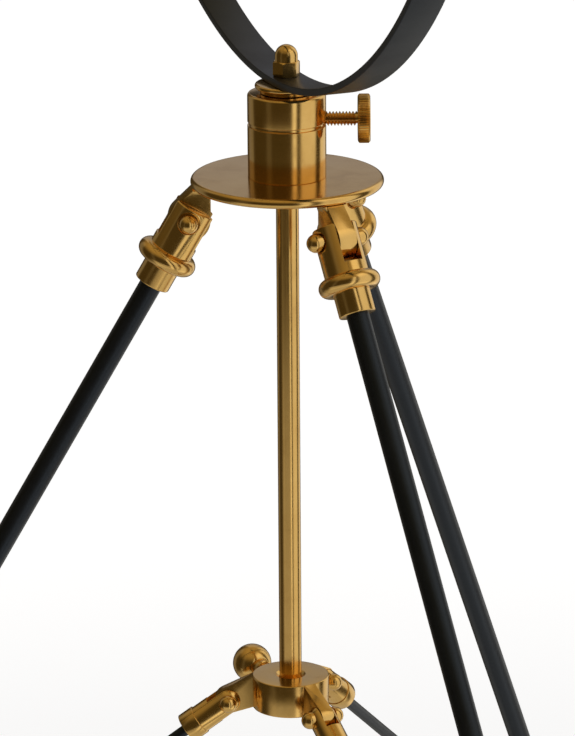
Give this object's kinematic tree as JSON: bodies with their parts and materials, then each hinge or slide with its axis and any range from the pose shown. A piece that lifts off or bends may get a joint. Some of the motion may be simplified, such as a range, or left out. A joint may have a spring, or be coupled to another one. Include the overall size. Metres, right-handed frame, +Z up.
{
  "type": "armillary astrolabe on a folding tripod",
  "caption": "Armillary astrolabe: a black ring with a polar-axis arrow, nested rings and a globe, on a turned brass collar and a folding tripod with a braced sliding hub.",
  "frame": {"origin": "on the floor, under the middle of the whole object's box; the stand's upright axis is at x = 0.0912 m", "axes": "+Z up; one leg points to -X, and the other two to +X, 60 degrees each side; the thumbscrew points to +X"},
  "size_m": [0.5624, 0.647, 1.0224],
  "materials": {
    "brass": "satin polished",
    "black_steel": "satin",
    "rubber": "matte"
  },
  "bodies": {
    "head": {"top_plate": "brass", "collar": "brass", "centre_rod": "brass", "rod_stop_screw": "brass", "leg_lug_left": "brass", "leg_lug_front": "brass", "leg_lug_back": "brass"},
    "ring": {"ring_spigot": "brass", "ring_seat": "brass", "ring_stud": "brass", "cap_nut": "brass", "meridian_ring": "black_steel", "axis_bushes": "brass"},
    "sphere": {"axis_rod": "brass", "arrow_head": "brass", "arrow_tail": "brass", "colure_ring": "black_steel", "equator_ring": "black_steel", "ecliptic_ring": "black_steel", "ring_rivets": "brass", "axis_collars": "brass", "centre_globe": "brass"},
    "thumbscrew": {"collar_thumbscrew": "brass"},
    "leg_left": {"leg_clevis_left": "brass", "leg_pin_left": "brass", "leg_rod_left": "black_steel", "leg_tip_left": "brass", "rubber_foot_left": "rubber", "brace_collar_left": "brass"},
    "leg_front": {"leg_clevis_front": "brass", "leg_pin_front": "brass", "leg_rod_front": "black_steel", "leg_tip_front": "brass", "rubber_foot_front": "rubber", "brace_collar_front": "brass"},
    "leg_back": {"leg_clevis_back": "brass", "leg_pin_back": "brass", "leg_rod_back": "black_steel", "leg_tip_back": "brass", "rubber_foot_back": "rubber", "brace_collar_back": "brass"},
    "hub": {"hub": "brass"},
    "hub_knob": {"hub_knob": "brass"},
    "brace_left": {"brace_clevis_left": "brass", "brace_pin_left": "brass", "brace_rod_left": "black_steel", "brace_eye_left": "brass", "eye_pin_left": "brass"},
    "brace_front": {"brace_clevis_front": "brass", "brace_pin_front": "brass", "brace_rod_front": "black_steel", "brace_eye_front": "brass", "eye_pin_front": "brass"},
    "brace_back": {"brace_clevis_back": "brass", "brace_pin_back": "brass", "brace_rod_back": "black_steel", "brace_eye_back": "brass", "eye_pin_back": "brass"}
  },
  "joints": [
    {"name": "ring_swivel", "type": "hinge", "parent": "head", "child": "ring", "pos_m": [0.0912, 0, 0.583], "axis": [0, 0, 1], "continuous": true},
    {"name": "sphere_spin", "type": "hinge", "parent": "ring", "child": "sphere", "pos_m": [0.0912, 0, 0.82242], "axis": [0.2592, -0.6579, 0.7071], "continuous": true},
    {"name": "thumbscrew_turn", "type": "hinge", "parent": "head", "child": "thumbscrew", "pos_m": [0.0912, 0, 0.6071], "axis": [1, 0, 0], "continuous": true},
    {"name": "leg_left_fold", "type": "hinge", "parent": "head", "child": "leg_left", "pos_m": [0.0505, 0, 0.565], "axis": [0, 1, 0], "range_deg": [-29, 0]},
    {"name": "leg_front_fold", "type": "hinge", "parent": "head", "child": "leg_front", "pos_m": [0.11155, -0.03525, 0.565], "axis": [-0.866, -0.5, 0], "range_deg": [-29, 0]},
    {"name": "leg_back_fold", "type": "hinge", "parent": "head", "child": "leg_back", "pos_m": [0.11155, 0.03525, 0.565], "axis": [0.866, -0.5, 0], "range_deg": [-29, 0]},
    {"name": "hub_slide", "type": "slide", "parent": "head", "child": "hub", "axis": [0, 0, 1], "range_m": [0, 0.05921]},
    {"name": "hub_knob_turn", "type": "hinge", "parent": "hub", "child": "hub_knob", "pos_m": [0.0912, 0, 0.3585], "axis": [-0.5, 0.866, 0], "continuous": true},
    {"name": "brace_left_fold", "type": "hinge", "parent": "hub", "child": "brace_left", "pos_m": [0.0646, 0, 0.3526], "axis": [0, 1, 0], "range_deg": [-49.81, 0]},
    {"name": "brace_front_fold", "type": "hinge", "parent": "hub", "child": "brace_front", "pos_m": [0.1045, -0.02304, 0.3526], "axis": [-0.866, -0.5, 0], "range_deg": [-49.81, 0]},
    {"name": "brace_back_fold", "type": "hinge", "parent": "hub", "child": "brace_back", "pos_m": [0.1045, 0.02304, 0.3526], "axis": [0.866, -0.5, 0], "range_deg": [-49.81, 0]}
  ],
  "couplings": [
    {"joint": "leg_front_fold", "follows": "leg_left_fold", "ratio": 1},
    {"joint": "leg_back_fold", "follows": "leg_left_fold", "ratio": 1},
    {"joint": "hub_slide", "follows": "leg_left_fold", "m_per_rad": -0.11698},
    {"joint": "brace_left_fold", "follows": "leg_left_fold", "ratio": 1.7175},
    {"joint": "brace_front_fold", "follows": "leg_left_fold", "ratio": 1.7175},
    {"joint": "brace_back_fold", "follows": "leg_left_fold", "ratio": 1.7175}
  ]
}
